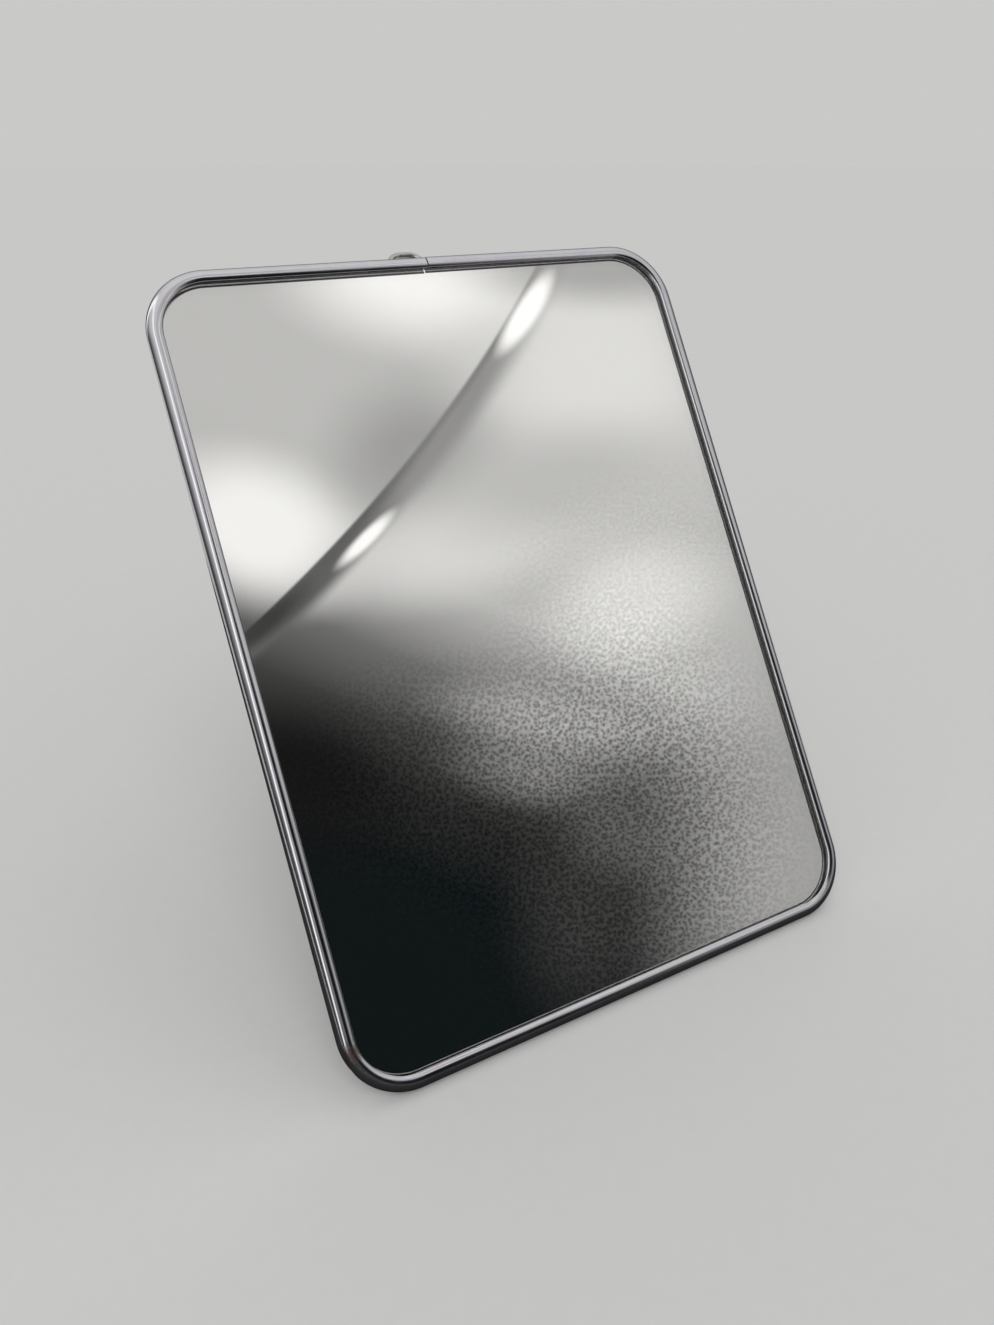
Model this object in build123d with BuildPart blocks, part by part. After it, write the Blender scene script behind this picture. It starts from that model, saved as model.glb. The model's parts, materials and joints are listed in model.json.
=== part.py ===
"""Barber mirror: a sheet of mirror glass in a round plated bead, with a wire stand and a hanging loop.

Millimetres and degrees. +Z is up, the glass faces -Y, and the floor is at Z = 0. The origin lies on
the floor, under the middle of the whole object.
"""

from math import cos, radians, sin
import os

from build123d import *

os.makedirs("parts", exist_ok=True)

# How the mirror stands
lean = 34.4  # the panel's lean back from upright
stand_open = 60.0  # angle between the panel and the open stand

# Glass and the layers behind it
glass_wide = 180.0
glass_high = 240.0
glass_corner = 17.5  # radius of the rounded corners, in line with the bead's centre line
glass_thick = 2.8
silver_thick = 0.04
lacquer_thick = 0.08
board_thick = 1.1

# Rim, a bead that is round outside, with flats inside and a slit for the edge of the stack
bead_wall = 0.425  # at the corners between the flats, where it is thinnest
bead_flats = 8
lip_gap = 0.02  # between a lip and the face that it holds
seam_gap = 0.4  # between the two ends of the bead, at the top centre

# Joiner inside the bead, behind the butt joint
joiner_long = 28.0
joiner_thick = 0.35
joiner_gap = 0.03  # between the joiner and the inside of the bead
joiner_edge = 0.9  # between the edge of the stack and the joiner

# Rivets
shank_dia = 3.0
shank_gap = 0.03  # between a shank and its hole, all round
head_dia = 6.0
head_high = 1.0
head_slope = 1.1  # how far the sloping side of a head reaches inward
set_dia = 5.4  # set end, inside the board
set_thick = 0.5
set_gap = 0.2  # between a set end and the lacquer
relief_gap = 0.8  # between a set end and its window in the card

# Hinge plate
pivot_up = 40.0  # stand pivot above the middle of the panel
pivot_lift = 1.1  # between the sheet and the stand's pins
sheet_thick = 0.8
ear_span = 46.0  # over the outer faces of the two ears
plate_high = 20.0
plate_corner = 4.0
bend_inner = 0.5  # inner radius of a bend in the sheet
ear_foot = 13.0  # length of an ear along the board
ear_rim = 2.9  # sheet round a pivot hole
rivet_inset = 8.0  # rivet inward of an ear's outer face
rib_long = 20.0  # pressed rib between the rivets
rib_wide = 7.0
rib_high = 0.8
rib_slope = 35.0  # draft of the rib's sides
tab_near = 2.6  # a stop tab's stretch along the open leg, measured from the pivot
tab_far = 6.2
tab_past = 1.1  # how far a stop tab reaches past the leg
stop_gap = 0.3  # between a stop tab and the open leg

# Stand, one bent wire
wire_dia = 3.0
pin_gap = 0.05  # between the wire and its pivot hole, all round
pin_inset = 3.2  # how far a pin's end stands inside its ear
knee_radius = 3.4
knee_gap = 0.2  # straight pin left between an ear and the start of the knee
foot_wide = 104.0  # between the corners of the foot
foot_radius = 7.0

# Hanger strap, a strip folded round the straight side of the loop
strap_wide = 10.0
strap_long = 12.0  # from the loop's pivot to the rounded end
strap_thick = 0.7
strap_slit = 0.05  # between the two layers
strap_curl = 240.0  # how far the strip wraps round the wire
strap_bend = 1.0  # radius of the bend back to the lower layer

# Hanging loop, bent wire
loop_dia = 2.0
loop_gap = 0.05  # between the wire and the strap's curl, all round
loop_drop = 12.0  # loop pivot below the top edge of the glass
loop_raise = 20.7  # the loop's angle off the panel, as it stands
loop_long = 25.0
loop_tip = 10.8  # between the corners at the tip
loop_base_radius = 2.2
loop_side_gap = 1.3  # straight wire left between the strap and a corner
loop_tip_radius = 4.6
loop_butt = 0.3  # between the ends of the wire, inside the strap

# Places that follow from the sizes above
wire_radius = wire_dia / 2
loop_radius = loop_dia / 2
pivot_off = sheet_thick + pivot_lift + wire_radius  # stand pivot behind the board
leg_offset = knee_gap + knee_radius  # from an ear's outer face to a leg's axis, at the pivot
loop_off = strap_thick + loop_gap + loop_radius  # loop pivot behind the board
loop_up = glass_high / 2 - loop_drop
loop_base = strap_wide + 2 * (loop_side_gap + loop_base_radius)
strap_rivet = strap_long - strap_wide / 2  # rivet below the loop's pivot
card_thick = set_thick + set_gap
rivet_pitch = ear_span - 2 * rivet_inset
relief_wide = set_dia + 2 * relief_gap

# Levels through the stack, forward of its middle
stack_thick = glass_thick + silver_thick + lacquer_thick + card_thick + board_thick
glass_front = stack_thick / 2
glass_back = glass_front - glass_thick
silver_back = glass_back - silver_thick
lacquer_back = silver_back - lacquer_thick
card_back = lacquer_back - card_thick
board_back = card_back - board_thick

# Bead section, wide enough for the stack between its lips
lip_level = stack_thick / 2 + lip_gap
half_flat = 180.0 / bead_flats  # half the turn from one flat to the next
bead_outer = lip_level / cos(radians(half_flat)) + bead_wall

# The panel's place on the floor, leaning on its bottom bead and on the stand's foot
lean_back = sin(radians(lean))
lean_up = cos(radians(lean))
pivot_rise = bead_outer + (glass_high / 2 + pivot_up) * lean_up
pivot_rise -= (stack_thick / 2 + pivot_off) * lean_back
pivot_depth = (glass_high / 2 + pivot_up) * lean_back + (stack_thick / 2 + pivot_off) * lean_up
leg_tilt = radians(stand_open - lean)
leg_long = (pivot_rise - wire_radius) / cos(leg_tilt)
foot_depth = pivot_depth + leg_long * sin(leg_tilt) + wire_radius
loop_depth = (glass_high / 2 + loop_up) * lean_back + (stack_thick / 2 + loop_off) * lean_up
loop_depth += loop_long * sin(radians(lean + loop_raise)) + loop_radius
whole_depth = max(foot_depth, loop_depth)
bead_depth = (bead_outer - whole_depth) / 2  # Y of the bottom bead's axis

panel = Plane(
    origin=(0, bead_depth + glass_high / 2 * lean_back, bead_outer + glass_high / 2 * lean_up),
    x_dir=(1, 0, 0),
    z_dir=(0, -lean_up, lean_back),
)


def on_panel(right, up, forward):
    """A point of the leaning panel, from its middle."""
    return panel.from_local_coords(Vector(right, up, forward))


def side_plane(right, up):
    """A plane across the panel at the board's back face: local x is up, local y is behind the board."""
    return Plane(on_panel(right, up, board_back), x_dir=panel.y_dir, z_dir=-panel.x_dir)


def rivet_plane(right, up):
    """A plane through a rivet's axis: local x is right, local y is behind the board."""
    return Plane(on_panel(right, up, board_back), x_dir=panel.x_dir, z_dir=panel.y_dir)


with BuildSketch() as stack_outline:
    RectangleRounded(glass_wide, glass_high, glass_corner)

plate_rivets_at = [Vector(side * rivet_pitch / 2, pivot_up) for side in (-1, 1)]
strap_rivet_at = Vector(0, loop_up - strap_rivet)


# Glass and layers

with BuildPart() as mirror_glass:
    with BuildSketch(panel.offset(glass_back)):
        add(stack_outline.sketch)
    extrude(amount=glass_thick)
mirror_glass.part.label = "mirror_glass"
export_step(mirror_glass.part, "parts/mirror_glass.step")

with BuildPart() as silver_coat:
    with BuildSketch(panel.offset(silver_back)):
        add(stack_outline.sketch)
    extrude(amount=silver_thick)
silver_coat.part.label = "silver_coat"
export_step(silver_coat.part, "parts/silver_coat.step")

with BuildPart() as backing_lacquer:
    with BuildSketch(panel.offset(lacquer_back)):
        add(stack_outline.sketch)
    extrude(amount=lacquer_thick)
backing_lacquer.part.label = "backing_lacquer"
export_step(backing_lacquer.part, "parts/backing_lacquer.step")

with BuildPart() as packing_card:
    with BuildSketch(panel.offset(card_back)):
        add(stack_outline.sketch)
        with Locations((0, pivot_up)):
            Rectangle(rivet_pitch + relief_wide, relief_wide, mode=Mode.SUBTRACT)
        with Locations(strap_rivet_at):
            Rectangle(relief_wide, relief_wide, mode=Mode.SUBTRACT)
    extrude(amount=card_thick)
packing_card.part.label = "packing_card"
export_step(packing_card.part, "parts/packing_card.step")

with BuildPart() as back_board:
    with BuildSketch(panel.offset(board_back)):
        add(stack_outline.sketch)
        with Locations(*plate_rivets_at, strap_rivet_at):
            Circle(shank_dia / 2 + shank_gap, mode=Mode.SUBTRACT)
    extrude(amount=board_thick)
back_board.part.label = "back_board"
export_step(back_board.part, "parts/back_board.step")


# Rim

half_wide = glass_wide / 2
half_high = glass_high / 2
half_seam = seam_gap / 2


def flats_inside(level):
    """Outline whose flats stand at a level from the bead's centre, two of them along the stack."""
    with BuildSketch() as outline:
        RegularPolygon(level, bead_flats, major_radius=False, rotation=half_flat)
    return outline.sketch


with BuildPart() as rim:
    with BuildLine(panel) as bead_line:
        FilletPolyline(
            (half_seam, half_high),
            (half_wide, half_high),
            (half_wide, -half_high),
            (-half_wide, -half_high),
            (-half_wide, half_high),
            (-half_seam, half_high),
            radius=glass_corner,
        )
    bead_start = Plane(bead_line.line @ 0, x_dir=-panel.y_dir, z_dir=bead_line.line % 0)
    with BuildSketch(bead_start):
        Circle(bead_outer)
        add(flats_inside(lip_level), mode=Mode.SUBTRACT)
        Rectangle(
            2 * bead_outer,
            2 * lip_level,
            align=(Align.MIN, Align.CENTER),
            mode=Mode.SUBTRACT,
        )
    sweep(path=bead_line.line)
rim.part.label = "rim"
export_step(rim.part, "parts/rim.step")

with BuildPart() as rim_joiner:
    joiner_end = Plane(
        on_panel(-joiner_long / 2, half_high, 0), x_dir=panel.y_dir, z_dir=panel.x_dir
    )
    with BuildSketch(joiner_end):
        add(flats_inside(lip_level - joiner_gap))
        add(flats_inside(lip_level - joiner_gap - joiner_thick), mode=Mode.SUBTRACT)
        with Locations((joiner_edge, 0)):
            Rectangle(
                2 * bead_outer,
                2 * bead_outer,
                align=(Align.MAX, Align.CENTER),
                mode=Mode.SUBTRACT,
            )
    extrude(amount=joiner_long)
rim_joiner.part.label = "rim_joiner"
export_step(rim_joiner.part, "parts/rim_joiner.step")


# Hinge plate

open_turn = radians(stand_open)
leg_back = Vector(-cos(open_turn), sin(open_turn))  # along the open leg, in a side plane
stop_side = Vector(sin(open_turn), cos(open_turn))  # across it, towards the stop
stop_off = wire_radius + stop_gap
bend_outer = bend_inner + sheet_thick
ear_outer = ear_span / 2
ear_inner = ear_outer - sheet_thick
ear_high = pivot_off + tab_far * leg_back.Y + (stop_off + sheet_thick) * stop_side.Y
ear_top = ear_high + sheet_thick
tab_long = tab_far - tab_near
tab_reach = leg_offset + wire_radius + tab_past
tab_middle = Vector(0, pivot_off) + leg_back * (tab_near + tab_far) / 2
tab_middle += stop_side * (stop_off + sheet_thick / 2)
tab_end = tab_middle + leg_back * tab_long / 2
pin_hole = wire_radius + pin_gap

with BuildSketch() as ear_outline:
    with BuildLine():
        Line((-ear_foot / 2, 0), (ear_foot / 2, 0))
        Line((-ear_foot / 2, bend_outer), (ear_foot / 2, bend_outer))
        CenterArc((0, pivot_off), pin_hole + ear_rim, 0, 360)
        CenterArc(tab_end, sheet_thick, 0, 360)
    make_hull()

with BuildPart() as hinge_plate:
    with BuildSketch(rivet_plane(0, pivot_up - ear_foot / 2)):
        with BuildLine():
            FilletPolyline(
                (-ear_outer + sheet_thick / 2, ear_top),
                (-ear_outer + sheet_thick / 2, sheet_thick / 2),
                (ear_outer - sheet_thick / 2, sheet_thick / 2),
                (ear_outer - sheet_thick / 2, ear_top),
                radius=bend_inner + sheet_thick / 2,
            )
        trace(line_width=sheet_thick)
    extrude(amount=ear_foot)
    with BuildSketch(side_plane(ear_outer, pivot_up)):
        Rectangle(2 * ear_foot, 2 * ear_top, align=(Align.CENTER, Align.MIN))
        add(ear_outline.sketch, mode=Mode.SUBTRACT)
        with Locations((0, pivot_off)):
            Circle(pin_hole)
    extrude(amount=ear_span, mode=Mode.SUBTRACT)
    with BuildSketch(panel.offset(board_back)):
        with Locations((0, pivot_up)):
            RectangleRounded(ear_span - 2 * bend_outer, plate_high, plate_corner)
    extrude(amount=-sheet_thick)
    with BuildSketch(panel.offset(board_back - sheet_thick)):
        with Locations((0, pivot_up)):
            SlotOverall(rib_long, rib_wide)
    extrude(amount=-rib_high, taper=rib_slope)
    with BuildSketch(panel.offset(board_back)):
        with Locations((0, pivot_up)):
            SlotOverall(rib_long - sheet_thick, rib_wide - sheet_thick)
    extrude(amount=-rib_high, taper=rib_slope, mode=Mode.SUBTRACT)
    with BuildSketch(panel.offset(board_back)):
        with Locations(*plate_rivets_at):
            Circle(shank_dia / 2 + shank_gap)
    extrude(amount=-sheet_thick, mode=Mode.SUBTRACT)
    for tab_root in (ear_outer + tab_reach, -ear_inner):
        with BuildSketch(side_plane(tab_root, pivot_up)):
            with Locations(tab_middle):
                Rectangle(tab_long, sheet_thick, rotation=180 - stand_open)
        extrude(amount=tab_reach + sheet_thick)
hinge_plate.part.label = "hinge_plate"
export_step(hinge_plate.part, "parts/hinge_plate.step")


# Rivets


def rivet_half(grip):
    """Half section of a rivet: head behind a grip of sheet, shank through the board, set end inside."""
    shank = shank_dia / 2
    head = head_dia / 2
    set_start = -board_thick
    set_end = set_start - set_thick
    with BuildSketch() as half:
        with BuildLine():
            Polyline(
                (0, grip + head_high),
                (head - head_slope, grip + head_high),
                (head, grip),
                (shank, grip),
                (shank, set_start),
                (set_dia / 2, set_start),
                (set_dia / 2, set_end),
                (0, set_end),
                close=True,
            )
        make_face()
    return half.sketch


def rivet_axis(right, up):
    """The axis of a rivet in the board."""
    return Axis(on_panel(right, up, board_back), panel.z_dir)


with BuildPart() as hinge_rivets:
    for rivet_at in plate_rivets_at:
        with BuildSketch(rivet_plane(rivet_at.X, rivet_at.Y)):
            add(rivet_half(sheet_thick))
        revolve(axis=rivet_axis(rivet_at.X, rivet_at.Y))
hinge_rivets.part.label = "hinge_rivets"
export_step(hinge_rivets.part, "parts/hinge_rivets.step")

with BuildPart() as hanger_rivet:
    with BuildSketch(rivet_plane(strap_rivet_at.X, strap_rivet_at.Y)):
        add(rivet_half(2 * strap_thick + strap_slit))
    revolve(axis=rivet_axis(strap_rivet_at.X, strap_rivet_at.Y))
hanger_rivet.part.label = "hanger_rivet"
export_step(hanger_rivet.part, "parts/hanger_rivet.step")


# Stand

stand_plane = Plane(
    on_panel(0, pivot_up, board_back - pivot_off),
    x_dir=(1, 0, 0),
    z_dir=(0, -cos(leg_tilt), -sin(leg_tilt)),
)
pin_end = ear_inner - pin_inset
knee = ear_outer + leg_offset
foot_half = foot_wide / 2

with BuildPart() as stand_wire:
    with BuildLine(stand_plane) as stand_line:
        FilletPolyline(
            (-pin_end, 0),
            (-knee, 0),
            (-foot_half, -leg_long),
            (foot_half, -leg_long),
            (knee, 0),
            (pin_end, 0),
            radius=(knee_radius, foot_radius, foot_radius, knee_radius),
        )
    with BuildSketch(Plane(stand_line.line @ 0, z_dir=stand_line.line % 0)):
        Circle(wire_radius)
    sweep(path=stand_line.line)
stand_wire.part.label = "stand_wire"
export_step(stand_wire.part, "parts/stand_wire.step")


# Hanger

with BuildPart() as hanger_strap:
    curl_radius = loop_radius + loop_gap + strap_thick / 2
    upper_level = strap_thick * 1.5 + strap_slit
    with BuildSketch(side_plane(strap_wide / 2, loop_up)):
        with BuildLine():
            lower_layer = Line((-strap_long, strap_thick / 2), (0, strap_thick / 2))
            curl = JernArc(lower_layer @ 1, lower_layer % 1, curl_radius, strap_curl)
            back_turn = radians(strap_curl - 180)
            slope_drop = (curl @ 1).Y - upper_level - strap_bend * (1 - cos(back_turn))
            slope = PolarLine(curl @ 1, slope_drop / sin(back_turn), direction=curl % 1)
            joggle = JernArc(slope @ 1, slope % 1, strap_bend, 180 - strap_curl)
            Line(joggle @ 1, (-strap_long, upper_level))
        trace(line_width=strap_thick)
    extrude(amount=strap_wide)
    with BuildSketch(panel.offset(board_back)):
        with Locations((0, loop_up - strap_long)):
            Rectangle(2 * strap_wide, strap_wide, align=(Align.CENTER, Align.CENTER))
            with Locations((0, strap_wide / 2)):
                Circle(strap_wide / 2, mode=Mode.SUBTRACT)
        with Locations(strap_rivet_at):
            Circle(shank_dia / 2 + shank_gap)
    extrude(amount=-3 * strap_thick, mode=Mode.SUBTRACT)
hanger_strap.part.label = "hanger_strap"
export_step(hanger_strap.part, "parts/hanger_strap.step")

loop_tilt = radians(lean + loop_raise)
loop_plane = Plane(
    on_panel(0, loop_up, board_back - loop_off),
    x_dir=(1, 0, 0),
    z_dir=(0, -cos(loop_tilt), sin(loop_tilt)),
)

with BuildPart() as hanger_loop:
    with BuildLine(loop_plane) as loop_line:
        FilletPolyline(
            (loop_butt / 2, 0),
            (loop_base / 2, 0),
            (loop_tip / 2, loop_long),
            (-loop_tip / 2, loop_long),
            (-loop_base / 2, 0),
            (-loop_butt / 2, 0),
            radius=(loop_base_radius, loop_tip_radius, loop_tip_radius, loop_base_radius),
        )
    with BuildSketch(Plane(loop_line.line @ 0, z_dir=loop_line.line % 0)):
        Circle(loop_radius)
    sweep(path=loop_line.line)
hanger_loop.part.label = "hanger_loop"
export_step(hanger_loop.part, "parts/hanger_loop.step")
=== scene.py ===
"""Looks of the barber mirror: plated bead, silvered glass, grained back board, stand and loop."""

import json
from math import asin, cos, pi, radians, sin, sqrt

import bmesh
import bpy
from bpy.props import FloatProperty, FloatVectorProperty, IntProperty, PointerProperty
from bpy.types import Operator, Panel, PropertyGroup
from mathutils import Matrix, Vector


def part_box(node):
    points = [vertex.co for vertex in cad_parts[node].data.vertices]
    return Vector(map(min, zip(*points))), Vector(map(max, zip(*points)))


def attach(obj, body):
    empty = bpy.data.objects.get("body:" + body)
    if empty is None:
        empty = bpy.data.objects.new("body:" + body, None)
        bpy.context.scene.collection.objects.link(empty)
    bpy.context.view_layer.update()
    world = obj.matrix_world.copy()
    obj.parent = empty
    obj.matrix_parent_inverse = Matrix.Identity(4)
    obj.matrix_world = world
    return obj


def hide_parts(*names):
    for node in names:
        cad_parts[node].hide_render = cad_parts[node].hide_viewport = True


bl_info = {
    "name": "Barber Mirror",
    "version": (1, 0, 0),
    "blender": (4, 5, 0),
    "location": "3D View > Sidebar > Mirror",
    "description": "Dresses the leaning table mirror piece by piece",
    "category": "Object",
}

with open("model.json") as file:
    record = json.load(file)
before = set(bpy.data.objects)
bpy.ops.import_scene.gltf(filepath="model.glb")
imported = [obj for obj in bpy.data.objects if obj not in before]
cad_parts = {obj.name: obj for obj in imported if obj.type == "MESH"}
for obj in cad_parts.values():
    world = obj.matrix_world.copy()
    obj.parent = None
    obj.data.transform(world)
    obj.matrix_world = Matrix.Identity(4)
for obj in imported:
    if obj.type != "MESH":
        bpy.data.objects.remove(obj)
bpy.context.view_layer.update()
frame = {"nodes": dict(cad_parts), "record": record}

MM = 0.001
HINGES = {joint["name"]: Vector(joint["pos_m"]) for joint in frame["record"]["behaviour"]["joints"]}


# Colours and nodes


def linear(hex_colour):
    """An sRGB hex value as a linear colour."""
    channels = [int(hex_colour[i : i + 2], 16) / 255 for i in (1, 3, 5)]
    return [c / 12.92 if c <= 0.04045 else ((c + 0.055) / 1.055) ** 2.4 for c in channels]


def shaded(colour, *shares):
    """A colour with its channels multiplied, all by one share or each by its own."""
    return [c * share for c, share in zip(colour, shares if len(shares) == 3 else shares * 3)]


def add_node(tree, kind, inputs=None, stops=(), **settings):
    """Adds a node with its settings, and fills its inputs with values or with links from sockets.

    A colour has three numbers. A stop of a colour ramp is a position and a grey level or a colour.
    """
    node = tree.nodes.new(kind)
    for name, value in settings.items():
        setattr(node, name, value)
    for name, value in (inputs or {}).items():
        socket = node.inputs[name]
        if isinstance(value, bpy.types.NodeSocket):
            tree.links.new(value, socket)
        else:
            socket.default_value = (*value, 1) if socket.type == "RGBA" else value
    if stops:
        elements = node.color_ramp.elements
        elements.remove(elements[-1])
    for i, (position, value) in enumerate(stops):
        element = elements[0] if i == 0 else elements.new(position)
        element.position = position
        element.color = (value, value, value, 1) if isinstance(value, float) else (*value, 1)
    return node


def start_material(name, colour):
    """A material with its plain colour; returns it, its tree and the place on the object."""
    material = bpy.data.materials.new(name)
    material.use_nodes = True
    material.diffuse_color = (*colour, 1)
    tree = material.node_tree
    tree.nodes.clear()
    return material, tree, add_node(tree, "ShaderNodeTexCoord").outputs["Object"]


def end_material(material, relief=None, **sockets):
    """Ends the material with one Principled shader, whose sockets get these values or links.

    relief is the pattern that raises the surface, how strongly, and its depth in millimetres.
    """
    tree = material.node_tree
    inputs = {key.replace("_", " "): value for key, value in sockets.items()}
    if relief:
        bump = dict(zip(("Height", "Strength", "Distance"), (*relief[:2], relief[2] * MM)))
        inputs["Normal"] = add_node(tree, "ShaderNodeBump", bump).outputs["Normal"]
    shader = add_node(tree, "ShaderNodeBsdfPrincipled", inputs)
    shader.inputs["Base Color"].default_value = material.diffuse_color
    add_node(tree, "ShaderNodeOutputMaterial", {"Surface": shader.outputs["BSDF"]})
    return material


# Shared building


def start_tree(name, **sizes):
    """A Geometry Nodes tree with one named input for each size; returns the tree and its inputs."""
    tree = bpy.data.node_groups.new(name, "GeometryNodeTree")
    tree.interface.new_socket("Geometry", in_out="INPUT", socket_type="NodeSocketGeometry")
    tree.interface.new_socket("Geometry", in_out="OUTPUT", socket_type="NodeSocketGeometry")
    for label, kind in {**sizes, "Material": "Material"}.items():
        label = label.replace("_", " ")
        tree.interface.new_socket(label, in_out="INPUT", socket_type="NodeSocket" + kind)
    return tree, add_node(tree, "NodeGroupInput").outputs


def end_tree(tree, geometry, material):
    """Ends the tree with real geometry that carries its material."""
    real = add_node(tree, "GeometryNodeRealizeInstances", {"Geometry": geometry})
    dressed = add_node(
        tree, "GeometryNodeSetMaterial", {"Geometry": real.outputs[0], "Material": material}
    )
    add_node(tree, "NodeGroupOutput", {"Geometry": dressed.outputs[0]})
    return tree


def rounded_path(tree, chain, steps):
    """A chain of edges as a curve, each corner rounded by the bend radius kept at its point."""
    path = add_node(tree, "GeometryNodeMeshToCurve", {"Mesh": chain}).outputs[0]
    bend = add_node(
        tree, "GeometryNodeInputNamedAttribute", {"Name": "bend"}, data_type="FLOAT"
    ).outputs[0]
    return add_node(
        tree, "GeometryNodeFilletCurve",
        {"Curve": path, "Count": steps, "Radius": bend, "Limit Radius": True}, mode="POLY",
    ).outputs[0]


def swept(tree, path, section):
    """Sweeps a section along a path, keeping the distances along and around for the finish."""
    run = add_node(tree, "GeometryNodeSplineParameter").outputs["Length"]
    path, section = [
        add_node(
            tree, "GeometryNodeStoreNamedAttribute",
            {"Geometry": curve, "Name": name, "Value": run}, domain="POINT", data_type="FLOAT",
        ).outputs[0]
        for curve, name in ((path, "along"), (section, "around"))
    ]
    return add_node(
        tree, "GeometryNodeCurveToMesh",
        {"Curve": path, "Profile Curve": section, "Fill Caps": True},
    ).outputs[0]


def add_object(name, data):
    """An object in the scene that holds this mesh, lamp or camera."""
    item = bpy.data.objects.new(name, data)
    bpy.context.scene.collection.objects.link(item)
    return item


def new_piece(name, points, edges=(), faces=(), **marks):
    """An object with this mesh, and with a named number at each point for each of marks."""
    mesh = bpy.data.meshes.new(name)
    mesh.from_pydata([tuple(point) for point in points], list(edges), list(faces))
    for mark, values in marks.items():
        mesh.attributes.new(mark, "FLOAT", "POINT").data.foreach_set("value", values)
    return add_object(name, mesh)


def bake(piece):
    """Keeps what the piece's modifiers make as its own plain mesh, and removes them."""
    bpy.context.view_layer.update()
    depsgraph = bpy.context.evaluated_depsgraph_get()
    mesh = bpy.data.meshes.new_from_object(piece.evaluated_get(depsgraph), depsgraph=depsgraph)
    piece.modifiers.clear()
    piece.data = mesh
    mesh.name = piece.name


def run_tree(piece, tree, **values):
    """Runs the tree on the piece with these input values and keeps the result."""
    modifier = piece.modifiers.new(tree.name, "NODES")
    modifier.node_group = tree
    for item in tree.interface.items_tree:
        key = item.name.replace(" ", "_")
        if item.in_out == "INPUT" and key in values:
            modifier[item.identifier] = values[key]
    bake(piece)


def soften(piece, width, segments=2, angle=30):
    """Rounds the piece's sharp edges and keeps the result."""
    bevel = piece.modifiers.new("Softened edges", "BEVEL")
    bevel.width = width
    bevel.segments = segments
    bevel.limit_method = "ANGLE"
    bevel.angle_limit = radians(angle)
    bake(piece)


def node_copy(name, node):
    """A piece with a merged copy of a CAD node's mesh, its flat faces whole."""
    same_point, same_plane = 0.002 * MM, radians(0.4)
    shape = bmesh.new()
    shape.from_mesh(frame["nodes"][node].data)
    bmesh.ops.remove_doubles(shape, verts=shape.verts, dist=same_point)
    bmesh.ops.dissolve_limit(shape, angle_limit=same_plane, verts=shape.verts, edges=shape.edges)
    mesh = bpy.data.meshes.new(name)
    shape.to_mesh(mesh)
    shape.free()
    return add_object(name, mesh)


def dress(piece, material, body, nodes, sharp_from=35):
    """Shades a finished piece and gives it its material, body, slot and the nodes it stands for."""
    mesh = piece.data
    mesh.materials.clear()
    mesh.materials.append(material)
    mesh.polygons.foreach_set("material_index", [0] * len(mesh.polygons))
    mesh.shade_smooth()
    mesh.set_sharp_from_angle(angle=radians(sharp_from))
    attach(piece, body)
    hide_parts(*nodes)


def finish_node(node, material):
    """Gives a CAD node that stays its better material."""
    for slot in frame["nodes"][node].material_slots:
        slot.material = material


def frame_of(right, up, origin):
    """Matrix that puts a flat drawing's right and up at a place on the object."""
    columns = Matrix((right, up, right.cross(up))).transposed().to_4x4()
    return Matrix.Translation(origin) @ columns


def panel_place():
    """Where the panel's drawing goes: centred in the middle of the bead, forward to the viewer."""
    sizes = bpy.context.scene.mirror_panel
    up = Vector((0, sin(sizes.lean), cos(sizes.lean)))
    low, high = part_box("mirror_glass")
    across = Vector((1, 0, 0))
    return frame_of(across, up, (low + high) / 2 - across.cross(up) * sizes.glass_middle)


# Sizes and colours that a user may change


def length(name, description, millimetres):
    """A length property with its default in millimetres."""
    return FloatProperty(
        name=name, description=description, default=millimetres * MM, unit="LENGTH", precision=5
    )


def tint(name, description, hex_colour):
    """A colour property with its default as an sRGB hex value."""
    return FloatVectorProperty(
        name=name, description=description, default=linear(hex_colour), subtype="COLOR", size=3,
        min=0, max=1,
    )


class MirrorPanelSettings(PropertyGroup):
    lean: FloatProperty(
        name="Lean", description="The panel's lean back from upright",
        default=radians(34.4), subtype="ANGLE",
    )
    width: length("Width", "Between the centre lines of the bead's two sides", 180)
    height: length("Height", "Between the centre lines of the bead's top and bottom", 240)
    corner: length("Corner", "Radius of the bead's centre line at the corners", 17.5)
    glass_middle: length("Glass middle", "The glass's middle, forward of the bead's centre", 0.96)
    glass_front: length("Glass front", "The front of the glass, forward of the bead's centre", 2.36)
    glass_back: length("Glass back", "The rear of the glass, forward of the bead's centre", -0.43)
    glass_arris: length("Ground edge", "Width of the ground edge of the glass", 0.35)
    board_back: length("Board back", "The rear of the back board, from the bead's centre", -2.36)
    board_front: length("Board front", "The front of the back board, from the bead's centre", -1.26)


class MirrorBeadSettings(PropertyGroup):
    radius: length("Radius", "Outer radius of the rolled bead", 3.0)
    wall: length("Strip", "Thickness of the rolled strip", 0.42)
    slit: length("Slit", "Half the opening that holds the glass, card and board", 2.385)
    lip_round: length("Lip rounding", "Rounding of the strip's two edges", 0.14)
    seam_gap: length("Seam gap", "Between the bead's two ends at the top", 0.4)
    seam_step: length("Seam step", "How far one end stands above the other", 0.12)
    waviness: length("Waviness", "How far the bead strays from a straight line", 0.05)
    corner_steps: IntProperty(name="Corner steps", description="Segments in a corner", default=28)
    plate: tint("Plate", "Bright nickel plate", "#d9d7db")
    worn: tint("Worn", "Where the plate has worn through to the steel", "#74543f")


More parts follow.
